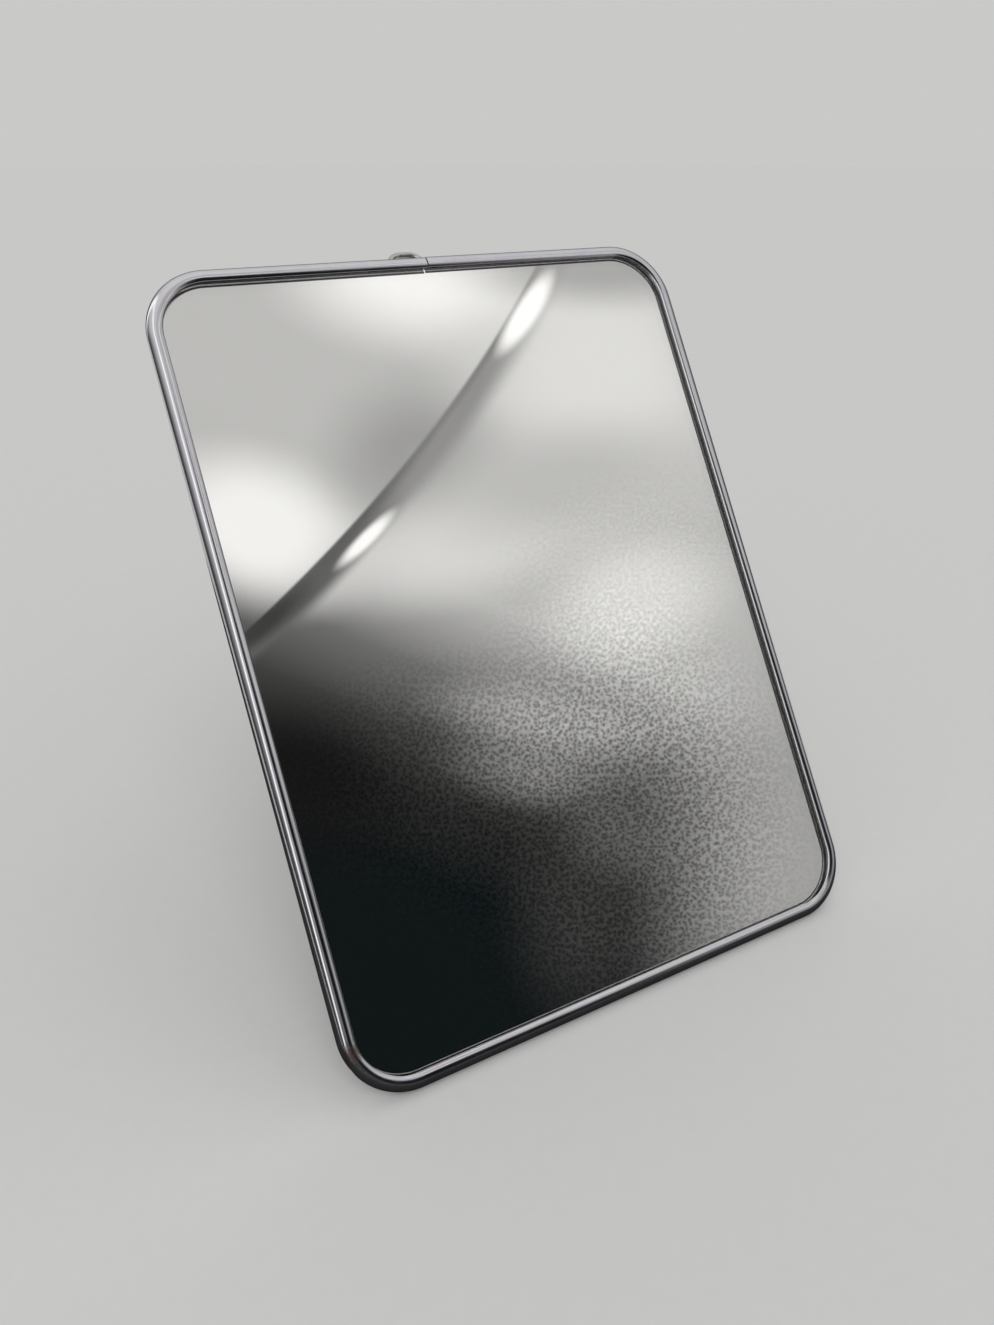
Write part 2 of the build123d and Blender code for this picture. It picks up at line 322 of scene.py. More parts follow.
class MirrorBackSettings(PropertyGroup):
    board: tint("Board", "Pressed fibreboard, stained dark", "#3b2a1e")
    board_high: tint("Board, rubbed", "Rubbed tops of the grain", "#59432f")
    grain: length("Grain", "Width of a cell of the leather grain", 1.5)
    card: tint("Card", "Grey packing card", "#8f897d")
    lacquer: tint("Lacquer", "Red-brown lacquer over the silver", "#5e2a1f")
    silver: tint("Silver", "Wet silver", "#f2f1ee")
    steel: tint("Joiner steel", "Bare mild steel", "#8c8a88")


class MirrorHardwareSettings(PropertyGroup):
    stand_wire: length("Stand wire", "Radius of the stand's wire", 1.5)
    pin_end: length("Pin end", "A pin's end from the middle of the stand", 19.0)
    knee: length("Knee", "A leg from the middle of the stand, at the hinge", 26.6)
    knee_bend: length("Knee bend", "Bend radius between pin and leg", 3.4)
    foot_half: length("Half foot", "A corner of the foot from the middle of the stand", 52.0)
    foot_bend: length("Foot bend", "Bend radius at the foot's corners", 7.0)
    loop_wire: length("Loop wire", "Radius of the hanging loop's wire", 1.0)
    loop_base: length("Loop base", "A base corner from the middle of the loop", 8.5)
    loop_base_bend: length("Loop base bend", "Bend radius at the base corners", 2.2)
    loop_tip: length("Loop tip", "A tip corner from the middle of the loop", 5.4)
    loop_tip_bend: length("Loop tip bend", "Bend radius at the tip corners", 4.6)
    loop_butt: length("Loop butt", "Half the gap between the wire's ends in the strap", 0.15)
    plate_rivets_up: length("Plate rivets up", "The plate's rivets above the panel's middle", 40)
    plate_rivet_pitch: length("Plate rivet pitch", "Between the hinge plate's two rivets", 30)
    plate_grip: length("Plate thickness", "Sheet under the heads of the plate rivets", 0.8)
    strap_rivet_up: length("Strap rivet up", "The strap's rivet above the panel's middle", 101)
    strap_grip: length("Strap thickness", "Sheet under the head of the strap's rivet", 1.45)
    head_radius: length("Rivet head", "Radius of a rivet's domed head", 3.0)
    head_height: length("Rivet head height", "Height of a rivet's domed head", 1.0)
    shank_radius: length("Rivet shank", "Radius of a rivet's shank", 1.5)
    set_radius: length("Set head", "Radius of a rivet's spread end", 2.7)
    set_height: length("Set head height", "Height of a rivet's spread end", 0.5)
    sheet: tint("Sheet", "Dull nickel on the sheet parts", "#b5b2ad")
    wire: tint("Wire", "Nickel on the drawn wire", "#c8c6c3")
    brass: tint("Brass", "Dulled brass", "#b3965c")


class MirrorStageSettings(PropertyGroup):
    floor: tint("Floor", "Plain pale floor", "#c9c9c8")
    ambient: FloatProperty(
        name="Ambient", description="Share of the light that comes evenly all round", default=0.6
    )
    key: FloatProperty(name="Key", description="Strength of the main soft light", default=1.15)
    fill: FloatProperty(name="Fill", description="Strength of the second soft light", default=0.45)


# Finishes. The scale of a noise or mapping counts cells in a metre: 1000 gives cells of 1 mm


def rolled_place(tree, along_scale, round_scale):
    """The place on a drawn or rolled piece, as scaled distances along it and round it."""
    along, around = [
        add_node(tree, "ShaderNodeAttribute", attribute_name=name).outputs["Fac"]
        for name in ("along", "around")
    ]
    place = add_node(tree, "ShaderNodeCombineXYZ", {"X": along, "Y": around}).outputs[0]
    return add_node(
        tree, "ShaderNodeMapping", {"Vector": place, "Scale": (along_scale, round_scale, 1)}
    ).outputs[0]


def clouds(tree, place, scale, detail, roughness, *ramps):
    """Noise over a place and a colour ramp on it for each of ramps; returns noise and ramps."""
    noise = add_node(
        tree, "ShaderNodeTexNoise",
        {"Vector": place, "Scale": scale, "Detail": detail, "Roughness": roughness},
    ).outputs["Fac"]
    return noise, *[
        add_node(tree, "ShaderNodeValToRGB", {"Fac": noise}, stops=stops).outputs[0]
        for stops in ramps
    ]


def bright_nickel_bead(settings, worn_place):
    """Bright nickel on rolled strip: clear reflections, hairlines along it, brown where worn."""
    plate = list(settings.plate)
    material, tree, place = start_material("bright_nickel_bead", plate)
    # Rolling lines run on for about 50 mm and lie 0.25 mm apart, as coarse as they need to show
    lines = add_node(
        tree, "ShaderNodeTexNoise",
        {"Vector": rolled_place(tree, 20, 4000), "Scale": 1.0, "Detail": 3.0, "Roughness": 0.6},
    ).outputs["Fac"]
    # Handled patches, about 15 mm across, with a faint violet cast, as nickel shows under skin oil
    _, dull, cast = clouds(
        tree, place, 65.0, 5.0, 0.62, ((0.42, 0.07), (0.6, 0.12), (0.75, 0.22)),
        ((0.35, shaded(plate, 0.93)), (0.55, plate), (0.72, shaded(plate, 0.96, 0.93, 1))),
    )
    # Wear at the corner that the mirror is turned and set down on, in specks of about 1.4 mm
    away = add_node(
        tree, "ShaderNodeVectorMath", {0: place, 1: worn_place}, operation="DISTANCE"
    ).outputs["Value"]
    near = add_node(
        tree, "ShaderNodeMapRange",
        {"Value": away, "From Min": 0.5 * MM, "From Max": 6 * MM, "To Min": 1.0, "To Max": 0.0},
    ).outputs["Result"]
    specks = add_node(
        tree, "ShaderNodeTexNoise",
        {"Vector": place, "Scale": 700.0, "Detail": 5.0, "Roughness": 0.7},
    ).outputs["Fac"]
    rubbed = add_node(tree, "ShaderNodeMath", {0: near, 1: specks}, operation="MULTIPLY").outputs[0]
    wear = add_node(
        tree, "ShaderNodeValToRGB", {"Fac": rubbed}, stops=((0.2, 0.0), (0.42, 0.75))
    ).outputs[0]
    tone = add_node(
        tree, "ShaderNodeMix", {0: wear, 6: cast, 7: list(settings.worn)}, data_type="RGBA"
    ).outputs[2]
    rough = dull
    for pattern, share in ((lines, 0.06), (wear, 0.3)):
        rough = add_node(
            tree, "ShaderNodeMath", {0: pattern, 1: share, 2: rough}, operation="MULTIPLY_ADD"
        ).outputs[0]
    relief = (lines, 0.06, 0.03)
    return end_material(material, relief, Base_Color=tone, Metallic=1.0, Roughness=rough)


def nickel_wire(settings):
    """Nickel plate on drawn wire: a soft shine, die lines along it and duller handled stretches."""
    wire = list(settings.wire)
    material, tree, place = start_material("nickel_plated_wire", wire)
    # Die lines run on for about 30 mm and lie 0.2 mm apart, as coarse as they need to show
    lines = add_node(
        tree, "ShaderNodeTexNoise",
        {"Vector": rolled_place(tree, 30, 5000), "Scale": 1.0, "Detail": 3.0, "Roughness": 0.6},
    ).outputs["Fac"]
    # Handled stretches, about 11 mm long
    _, dull, tone = clouds(
        tree, place, 90.0, 5.0, 0.65, ((0.4, 0.16), (0.6, 0.24), (0.75, 0.38)),
        ((0.35, wire), (0.62, shaded(wire, 0.9)), (0.8, shaded(wire, 0.74, 0.68, 0.6))),
    )
    rough = add_node(
        tree, "ShaderNodeMath", {0: lines, 1: 0.12, 2: dull}, operation="MULTIPLY_ADD"
    ).outputs[0]
    relief = (lines, 0.2, 0.03)
    return end_material(material, relief, Base_Color=tone, Metallic=1.0, Roughness=rough)


def dull_nickel_sheet(settings):
    """Barrel-plated sheet steel: a grey satin metal with fine scuffs and browner low places."""
    sheet = list(settings.sheet)
    material, tree, place = start_material("dull_nickel_sheet", sheet)
    # Dull and brown clouds, about 6 mm across
    _, matt, tone = clouds(
        tree, place, 160.0, 6.0, 0.65, ((0.35, 0.26), (0.6, 0.36), (0.8, 0.52)),
        ((0.3, shaded(sheet, 0.82)), (0.52, sheet), (0.78, shaded(sheet, 0.78, 0.7, 0.6))),
    )
    # Scuffs about 0.2 mm wide and 4 mm long, across the sheet
    stretched = add_node(
        tree, "ShaderNodeMapping",
        {"Vector": place, "Rotation": (0, 0.3, 0.4), "Scale": (250, 5000, 5000)},
    ).outputs[0]
    scuffs = add_node(
        tree, "ShaderNodeTexNoise", {"Vector": stretched, "Scale": 1.0, "Detail": 2.0}
    ).outputs["Fac"]
    rough = add_node(
        tree, "ShaderNodeMath", {0: scuffs, 1: 0.14, 2: matt}, operation="MULTIPLY_ADD"
    ).outputs[0]
    relief = (scuffs, 0.25, 0.02)
    return end_material(material, relief, Base_Color=tone, Metallic=1.0, Roughness=rough)


def dulled_brass(settings):
    """Old brass rivets: warm metal, browned in the hollows and brighter where rubbed."""
    brass = list(settings.brass)
    material, tree, place = start_material("dulled_brass", brass)
    # Stains about 1.7 mm across
    stain, matt, tone = clouds(
        tree, place, 600.0, 6.0, 0.7, ((0.35, 0.5), (0.6, 0.24)),
        ((0.35, shaded(brass, 0.45, 0.38, 0.3)), (0.52, brass)),
    )
    return end_material(material, (stain, 0.3, 0.04), Base_Color=tone, Metallic=1.0, Roughness=matt)


def float_glass():
    """Polished float glass: clear, with the faintest of drawing waves."""
    material, tree, place = start_material("float_glass", linear("#fefefe"))
    # Waves about 40 mm long
    waves = add_node(
        tree, "ShaderNodeTexNoise", {"Vector": place, "Scale": 25.0, "Detail": 1.0}
    ).outputs["Fac"]
    relief = (waves, 0.02, 0.02)
    return end_material(material, relief, Roughness=0.0, IOR=1.52, Transmission_Weight=1.0)


def wet_silver(settings):
    """Silver laid wet on glass: a full mirror, a little greyer in soft clouds 60 mm across."""
    silver = list(settings.silver)
    material, tree, place = start_material("wet_silver", silver)
    _, tone = clouds(tree, place, 16.0, 3.0, 0.5, ((0.3, shaded(silver, 0.97)), (0.7, silver)))
    return end_material(material, Base_Color=tone, Metallic=1.0, Roughness=0.015)


def backing_lacquer(settings):
    """Red-brown lacquer poured over the silver: matt, with runs and thin places."""
    lacquer = list(settings.lacquer)
    material, tree, place = start_material("backing_lacquer", lacquer)
    # Runs about 11 mm wide and 50 mm long
    runs = add_node(
        tree, "ShaderNodeMapping", {"Vector": place, "Scale": (90, 20, 20)}
    ).outputs[0]
    _, tone = clouds(tree, runs, 1.0, 4.0, 0.5, ((0.35, shaded(lacquer, 0.7)), (0.6, lacquer)))
    return end_material(material, Base_Color=tone, Roughness=0.62)


def packing_card(settings):
    """Grey packing card: soft, with darker fibres about 1 mm long."""
    card = list(settings.card)
    material, tree, place = start_material("grey_packing_card", card)
    fibres, tone = clouds(tree, place, 900.0, 6.0, 0.75, ((0.35, shaded(card, 0.72)), (0.6, card)))
    return end_material(material, (fibres, 0.4, 0.05), Base_Color=tone, Roughness=0.92)


def grained_fibreboard(settings):
    """Hard-pressed fibreboard with a rolled leather grain: dark, dull, lighter where rubbed."""
    board = list(settings.board)
    material, tree, place = start_material("grained_fibreboard", board)
    # The grain's cells stray by up to 1.2 mm, in waves of about 4.5 mm
    stray = (1.2 * MM,) * 3
    warped = add_node(
        tree, "ShaderNodeTexNoise", {"Vector": place, "Scale": 220.0, "Detail": 2.0}
    ).outputs["Color"]
    shaken = add_node(
        tree, "ShaderNodeVectorMath", {0: warped, 1: stray, 2: place}, operation="MULTIPLY_ADD"
    ).outputs[0]
    cells = add_node(
        tree, "ShaderNodeTexVoronoi", {"Vector": shaken, "Scale": 1 / settings.grain},
        feature="DISTANCE_TO_EDGE",
    ).outputs["Distance"]
    hills = add_node(
        tree, "ShaderNodeMapRange", {"Value": cells, "From Max": 0.24},
        interpolation_type="SMOOTHSTEP",
    ).outputs["Result"]
    # Cloudy stain, 20 mm across, under rubbed tops
    stain, ground = clouds(
        tree, place, 45.0, 6.0, 0.6,
        ((0.3, shaded(board, 0.6)), (0.55, board), (0.8, shaded(board, 1.25))),
    )
    rub = add_node(tree, "ShaderNodeMath", {0: hills, 1: stain}, operation="MULTIPLY").outputs[0]
    tops = add_node(
        tree, "ShaderNodeValToRGB", {"Fac": rub}, stops=((0.3, 0.0), (0.72, 1.0))
    ).outputs[0]
    tone = add_node(
        tree, "ShaderNodeMix", {0: tops, 6: ground, 7: list(settings.board_high)}, data_type="RGBA"
    ).outputs[2]
    matt = add_node(
        tree, "ShaderNodeValToRGB", {"Fac": tops}, stops=((0.0, 0.66), (1.0, 0.46))
    ).outputs[0]
    # Fibres of about 0.4 mm roughen the relief of the cells
    fine = add_node(
        tree, "ShaderNodeTexNoise", {"Vector": place, "Scale": 2500.0, "Detail": 3.0}
    ).outputs["Fac"]
    relief = add_node(
        tree, "ShaderNodeMath", {0: fine, 1: 0.12, 2: hills}, operation="MULTIPLY_ADD"
    ).outputs[0]
    return end_material(material, (relief, 0.8, 0.16), Base_Color=tone, Roughness=matt)


def bare_steel(settings):
    """Bare mild steel slip: grey, half bright, with a touch of rust in spots of about 2 mm."""
    steel, rust = list(settings.steel), linear("#5b3a26")
    material, tree, place = start_material("bare_steel", steel)
    _, tone = clouds(tree, place, 500.0, 6.0, 0.5, ((0.5, steel), (0.68, rust)))
    return end_material(material, Base_Color=tone, Metallic=1.0, Roughness=0.42)


# Trees


def bead_tree():
    """Sweeps the bead's section along its path with rounded corners and a little waviness."""
    tree, given = start_tree("bead", Corner_steps="Int", Waviness="Float")
    in_section = add_node(
        tree, "GeometryNodeInputNamedAttribute", {"Name": "section"}, data_type="FLOAT"
    ).outputs[0]
    ring, chain = add_node(
        tree, "GeometryNodeSeparateGeometry",
        {"Geometry": given["Geometry"], "Selection": in_section},
    ).outputs
    section = add_node(tree, "GeometryNodeMeshToCurve", {"Mesh": ring}).outputs[0]
    path = rounded_path(tree, chain, given["Corner steps"])
    # It strays in waves of about 33 mm
    place = add_node(tree, "GeometryNodeInputPosition").outputs[0]
    drift = add_node(
        tree, "ShaderNodeTexNoise", {"Vector": place, "Scale": 30.0, "Detail": 1.0}
    ).outputs["Color"]
    centred = add_node(
        tree, "ShaderNodeVectorMath", {0: drift, 1: (0.5, 0.5, 0.5)}, operation="SUBTRACT"
    ).outputs[0]
    offset = add_node(
        tree, "ShaderNodeVectorMath", {0: centred, "Scale": given["Waviness"]}, operation="SCALE"
    ).outputs[0]
    path = add_node(
        tree, "GeometryNodeSetPosition", {"Geometry": path, "Offset": offset}
    ).outputs[0]
    return end_tree(tree, swept(tree, path, section), given["Material"])


def wire_tree():
    """Bends a round wire along its path, each corner with its own radius."""
    tree, given = start_tree("wire", Wire_radius="Float", Corner_steps="Int", Round_steps="Int")
    path = rounded_path(tree, given["Geometry"], given["Corner steps"])
    circle = add_node(
        tree, "GeometryNodeCurvePrimitiveCircle",
        {"Resolution": given["Round steps"], "Radius": given["Wire radius"]},
    ).outputs[0]
    return end_tree(tree, swept(tree, path, circle), given["Material"])


def rivet_tree():
    """Turns a rivet from its radii along its axis and sets a row of them."""
    tree, given = start_tree("rivets", Count="Int", Pitch="Vector", First="Vector")
    girth = add_node(
        tree, "GeometryNodeInputNamedAttribute", {"Name": "girth"}, data_type="FLOAT"
    ).outputs[0]
    axis = add_node(tree, "GeometryNodeMeshToCurve", {"Mesh": given["Geometry"]}).outputs[0]
    circle = add_node(
        tree, "GeometryNodeCurvePrimitiveCircle", {"Resolution": 40, "Radius": 1.0}
    ).outputs[0]
    turned = add_node(
        tree, "GeometryNodeCurveToMesh",
        {"Curve": axis, "Profile Curve": circle, "Scale": girth, "Fill Caps": True},
    ).outputs[0]
    row = add_node(
        tree, "GeometryNodeMeshLine",
        {"Count": given["Count"], "Start Location": given["First"], "Offset": given["Pitch"]},
    ).outputs[0]
    placed = add_node(
        tree, "GeometryNodeInstanceOnPoints", {"Points": row, "Instance": turned}
    ).outputs[0]
    return end_tree(tree, placed, given["Material"])


# Pieces


def bead_section(bead):
    """The rolled strip's cut face, with +X towards the glass: outer roll, lip, inner roll, lip."""
    outer, inner = bead.radius, bead.radius - bead.wall
    lip = bead.slit + bead.lip_round

    def arc(radius, first, last, steps=40):
        angles = [first + (last - first) * i / steps for i in range(steps + 1)]
        return [(radius * cos(a), radius * sin(a)) for a in angles]

    # Each lip ends in a rounded edge, and its inner face runs back to just short of the hollow
    start, begin = asin(lip / outer), asin(bead.slit / inner)
    end = outer * cos(start)
    foot = sqrt(inner**2 - bead.slit**2) + 0.3 * MM
    lower_lip = [
        (end + bead.lip_round * 0.35, -lip + bead.lip_round * 0.5),
        (end - bead.lip_round * 0.2, -bead.slit), (foot, -bead.slit),
    ]
    upper_lip = [(x, -y) for x, y in reversed(lower_lip)]
    roll, hollow = arc(outer, start, 2 * pi - start), arc(inner, 2 * pi - begin, begin)
    return roll + lower_lip + hollow + upper_lip


def bead_path(panel, bead):
    """The bead's centre line from seam to seam: points, and the bend radius at each."""
    half_wide, half_high, gap = panel.width / 2, panel.height / 2, bead.seam_gap / 2
    stops = [
        (gap, half_high + bead.seam_step), (half_wide, half_high), (half_wide, -half_high),
        (-half_wide, -half_high), (-half_wide, half_high), (-gap, half_high),
    ]
    stops = [Vector((*stop, 0)) for stop in stops]
    points, bends = [stops[0]], [0.0]
    # Extra points on each straight, clear of the corners, so that it can wander a little
    count, clear = 8, panel.corner * 1.6
    for start, end in zip(stops, stops[1:]):
        reach = (end - start).length
        for i in range(count):
            at = clear + (reach - 2 * clear) * i / (count - 1)
            points.append(start + (end - start) * at / reach)
        points.append(end)
        bends += [0.0] * count + [panel.corner]
    bends[-1] = 0.0
    return points, bends


class MIRROR_OT_bead(Operator):
    """Rolls the plated bead round the panel, with its seam at the top"""

    bl_idname = "mirror.bead"
    bl_label = "Bead"

    def execute(self, context):
        panel, bead = context.scene.mirror_panel, context.scene.mirror_bead
        points, bends = bead_path(panel, bead)
        section = [Vector((x, y, 0)) for x, y in bead_section(bead)]
        chain, ring = len(points), len(section)
        edges = [(i, i + 1) for i in range(chain - 1)]
        edges += [(chain + i, chain + (i + 1) % ring) for i in range(ring)]
        piece = new_piece(
            "bead", points + section, edges,
            bend=bends + [0.0] * ring, section=[0.0] * chain + [1.0] * ring,
        )
        place = panel_place()
        # The worn spot: the front of the bead at the lower left, where the corner's bend ends
        low = -panel.height / 2 + panel.corner * 0.8
        material = bright_nickel_bead(bead, place @ Vector((-panel.width / 2, low, bead.radius)))
        run_tree(
            piece, bead_tree(), Corner_steps=bead.corner_steps, Waviness=bead.waviness,
            Material=material,
        )
        piece.data.transform(place)
        dress(piece, material, "panel", ["rim"], sharp_from=50)
        finish_node("rim_joiner", bare_steel(context.scene.mirror_back))
        return {"FINISHED"}


class MIRROR_OT_glass(Operator):
    """Cuts the glass with its ground edge"""

    bl_idname = "mirror.glass"
    bl_label = "Glass"

    def execute(self, context):
        panel = context.scene.mirror_panel
        reach = Vector((panel.width / 2 - panel.corner, panel.height / 2 - panel.corner, 0))
        outline, steps = [], 16
        for quarter, side in enumerate(((1, 1, 0), (-1, 1, 0), (-1, -1, 0), (1, -1, 0))):
            for step in range(steps + 1):
                angle = (quarter + step / steps) * pi / 2
                bend = Vector((cos(angle), sin(angle), 0))
                outline.append(reach * Vector(side) + panel.corner * bend)
        count = len(outline)
        lift = Vector((0, 0, 1))
        points = [p + lift * panel.glass_back for p in outline]
        points += [p + lift * panel.glass_front for p in outline]
        faces = [tuple(reversed(range(count))), tuple(range(count, 2 * count))]
        faces += [(i, (i + 1) % count, count + (i + 1) % count, count + i) for i in range(count)]
        piece = new_piece("glass", points, faces=faces)
        piece.data.transform(panel_place())
        soften(piece, panel.glass_arris, segments=1, angle=60)
        dress(piece, float_glass(), "panel", ["mirror_glass"])
        return {"FINISHED"}


class MIRROR_OT_layers(Operator):
    """Finishes the layers behind the glass: silver, lacquer, card and back board"""

    bl_idname = "mirror.layers"
    bl_label = "Silver, card and board"

    def execute(self, context):
        back = context.scene.mirror_back
        finish_node("silver_coat", wet_silver(back))
        finish_node("backing_lacquer", backing_lacquer(back))
        finish_node("packing_card", packing_card(back))
        finish_node("back_board", grained_fibreboard(back))
        return {"FINISHED"}


class MIRROR_OT_sheet_parts(Operator):
    """Softens the edges of the stamped hinge plate and of the loop's strap"""

    bl_idname = "mirror.sheet_parts"
    bl_label = "Hinge plate and strap"

    def execute(self, context):
        material = dull_nickel_sheet(context.scene.mirror_hardware)
        for node in ("hinge_plate", "hanger_strap"):
            piece = node_copy(node + "_dressed", node)
            soften(piece, 0.1 * MM, angle=40)
            dress(piece, material, "panel", [node])
        return {"FINISHED"}


def rivet_axis(panel, parts, grip):
    """A rivet's axis from its head's top to its spread end: points, and the radius at each."""
    seat, spread = panel.board_back - grip, panel.board_front
    # The dome's profile, as shares of the head's radius and height
    dome = (
        (0.0, 1.0), (0.25, 0.985), (0.48, 0.93), (0.68, 0.83), (0.83, 0.68), (0.94, 0.45),
        (1.0, 0.2),
    )
    stops = [(seat - parts.head_height * up, parts.head_radius * share) for share, up in dome]
    # Two rings never share a height, so that each step in the rivet keeps its face
    step = 0.005 * MM
    stops += [
        (seat, parts.head_radius), (seat + step, parts.shank_radius), (spread, parts.shank_radius),
        (spread + step, parts.set_radius), (spread + parts.set_height, parts.set_radius * 0.92),
        (spread + parts.set_height + step, 0.0),
    ]
    return [Vector((0, 0, z)) for z, _ in stops], [radius for _, radius in stops]


class MIRROR_OT_rivets(Operator):
    """Sets the brass rivets of the hinge plate and of the strap"""

    bl_idname = "mirror.rivets"
    bl_label = "Rivets"

    def execute(self, context):
        panel, parts = context.scene.mirror_panel, context.scene.mirror_hardware
        material = dulled_brass(parts)
        tree = rivet_tree()
        rows = (
            ("hinge_rivets", 2, parts.plate_rivet_pitch, parts.plate_rivets_up, parts.plate_grip),
            ("hanger_rivet", 1, 0.0, parts.strap_rivet_up, parts.strap_grip),
        )
        for node, count, pitch, up, grip in rows:
            points, radii = rivet_axis(panel, parts, grip)
            piece = new_piece(
                node + "_domed", points, [(i, i + 1) for i in range(len(points) - 1)], girth=radii
            )
            first = (-pitch * (count - 1) / 2, up, 0)
            run_tree(
                piece, tree, Count=count, Pitch=(pitch, 0, 0), First=first, Material=material
            )
            piece.data.transform(panel_place())
            dress(piece, material, "panel", [node], sharp_from=45)
        return {"FINISHED"}


class MIRROR_OT_wires(Operator):
    """Bends the stand and the hanging loop from round wire"""

    bl_idname = "mirror.wires"
    bl_label = "Stand and loop"

    def execute(self, context):
        parts = context.scene.mirror_hardware
        material = nickel_wire(parts)
        tree = wire_tree()

        def bend_wire(name, node, body, hinge, radius, stops, bends):
            """stops are across the wire part and, as a share of its length, away from the hinge."""
            low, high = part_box(node)
            pivot = HINGES[hinge]
            far_z = low.z + radius if pivot.z - low.z > high.z - pivot.z else high.z - radius
            far = Vector((0, high.y - radius - pivot.y, far_z - pivot.z))
            points = [Vector((x, share * far.length, 0)) for x, share in stops]
            edges = [(i, i + 1) for i in range(len(points) - 1)]
            piece = new_piece(name, points, edges, bend=bends)
            run_tree(
                piece, tree, Wire_radius=radius, Corner_steps=20, Round_steps=32, Material=material
            )
            piece.data.transform(frame_of(Vector((1, 0, 0)), far.normalized(), pivot))
            soften(piece, 0.2 * MM, angle=60)
            dress(piece, material, body, [node])

        pin, knee, foot = parts.pin_end, parts.knee, parts.foot_half
        bend_wire(
            "stand", "stand_wire", "stand", "stand_hinge", parts.stand_wire,
            [(pin, 0), (knee, 0), (foot, 1), (-foot, 1), (-knee, 0), (-pin, 0)],
            [0, parts.knee_bend, *[parts.foot_bend] * 2, parts.knee_bend, 0],
        )
        butt, base, tip = parts.loop_butt, parts.loop_base, parts.loop_tip
        bend_wire(
            "loop", "hanger_loop", "hanger", "hanger_hinge", parts.loop_wire,
            [(butt, 0), (base, 0), (tip, 1), (-tip, 1), (-base, 0), (-butt, 0)],
            [0, parts.loop_base_bend, *[parts.loop_tip_bend] * 2, parts.loop_base_bend, 0],
        )
        return {"FINISHED"}


# Stage

# The canopy is laid out in the view that the mirror gives: its right, down and forward
CANOPY_AXES = (
    (0.875482, 0.174482, -0.450653),
    (-0.224360, -0.679190, -0.698830),
    (0.428012, -0.712922, 0.555471),
)
CANOPY_NEAREST = 0.05
CANOPY_SLANT = -0.42
CANOPY_STRENGTH = 1.09

# Soft patches: place across and down, half sizes, turn in degrees, grey, and the share that fades
CANOPY_GLOWS = (
    (-0.238, -0.134, 0.092, 0.061, 20, 0.95, 0.6),
    (-0.060, -0.397, 0.125, 0.070, 0, 0.99, 0.6),
    (0.100, -0.287, 0.120, 0.118, 0, 0.77, 0.7),
    (0.103, -0.395, 0.110, 0.032, 0, 0.43, 0.7),
    (-0.080, -0.205, 0.068, 0.058, 0, 0.36, 0.8),
    (-0.027, -0.122, 0.120, 0.045, -15, 0.72, 0.7),
    (0.138, -0.064, 0.072, 0.050, -15, 0.76, 0.7),
    (0.070, -0.180, 0.120, 0.050, -5, 0.54, 0.8),
    (-0.190, 0.115, 0.085, 0.060, 20, 0.009, 0.8),
    (0.070, 0.105, 0.090, 0.035, 8, 0.21, 0.7),
    (0.063, 0.052, 0.095, 0.030, 8, 0.35, 0.7),
    (0.095, 0.240, 0.060, 0.090, 0, 0.038, 0.8),
    (0.132, 0.160, 0.050, 0.045, 10, 0.10, 0.8),
    (0.325, 0.180, 0.115, 0.220, 12, 0.37, 0.75),
)
# The fold's near edge lies at a + b down + c down squared; its patches are placed beside that edge
FOLD_EDGE = (-0.2843, -1.125, -0.779)
FOLD_PATCHES = (
    (0.012, -0.195, 0.023, 0.190, 0, 0.30, 0.6),
    (0.002, -0.265, 0.006, 0.120, 0, 0.24, 0.7),
    (0.016, -0.060, 0.024, 0.085, 0, 0.13, 0.5),
    (0.003, -0.090, 0.012, 0.095, 0, 0.12, 0.7),
    (0.010, -0.036, 0.018, 0.035, 0, 0.052, 0.7),
    (0.028, -0.123, 0.009, 0.024, 0, 1.05, 0.5),
    (0.0165, -0.348, 0.013, 0.036, 0, 1.1, 0.4),
)
# Where the cloth's sparkle and its pebbles show, with their share in place of a grey
SPARKLE_PATCHES = ((0.12, -0.10, 0.13, 0.085, -20, 0.4, 0.6),)
PEBBLE_PATCHES = (
    (-0.05, 0.13, 0.13, 0.10, 10, 0.85, 0.7),
    (0.115, 0.175, 0.135, 0.17, 0, 1.2, 0.7),
)
# A tall soft light to the left draws the bright line along the bead's side
TALL_LIGHT = ((-0.53, 0.52, 0.09, 0.50, -17, 1.3, 0.4),)

FLOOR_RADIUS, FLOOR_SIDES = 10.0, 64
CARD_OUTLINE = (
    (-0.5, -1.5), (1.2, -1.5), (1.2, -0.070), (-0.096, -0.070), (-0.096, 0.35), (-0.5, 0.35)
)
CARD_HEIGHT = 0.5 * MM

# Fitted to the photograph
CAMERA_PLACE = (-0.149296, -0.261978, 0.239062)
CAMERA_TURN = (1.088515, 0, -0.504365)
CAMERA_LENS = 27.313


def soft_patches(tree, level, place, patches):
    """Lays soft ovals of plain grey over a level, one after another."""
    for across, down, half_wide, half_high, turn, grey, fade in patches:
        inside = add_node(
            tree, "ShaderNodeMapping",
            {
                "Vector": place, "Location": (across, down, 0), "Rotation": (0, 0, radians(turn)),
                "Scale": (half_wide, half_high, 1),
            },
            vector_type="TEXTURE",
        ).outputs[0]
        away = add_node(
            tree, "ShaderNodeVectorMath", {0: inside}, operation="LENGTH"
        ).outputs["Value"]
        cover = add_node(
            tree, "ShaderNodeMapRange",
            {"Value": away, "From Min": 1 + fade, "From Max": 1 - fade},
            interpolation_type="SMOOTHSTEP",
        ).outputs["Result"]
        level = add_node(
            tree, "ShaderNodeMix", {0: cover, 6: level, 7: [grey] * 3}, data_type="RGBA"
        ).outputs[2]
    return level


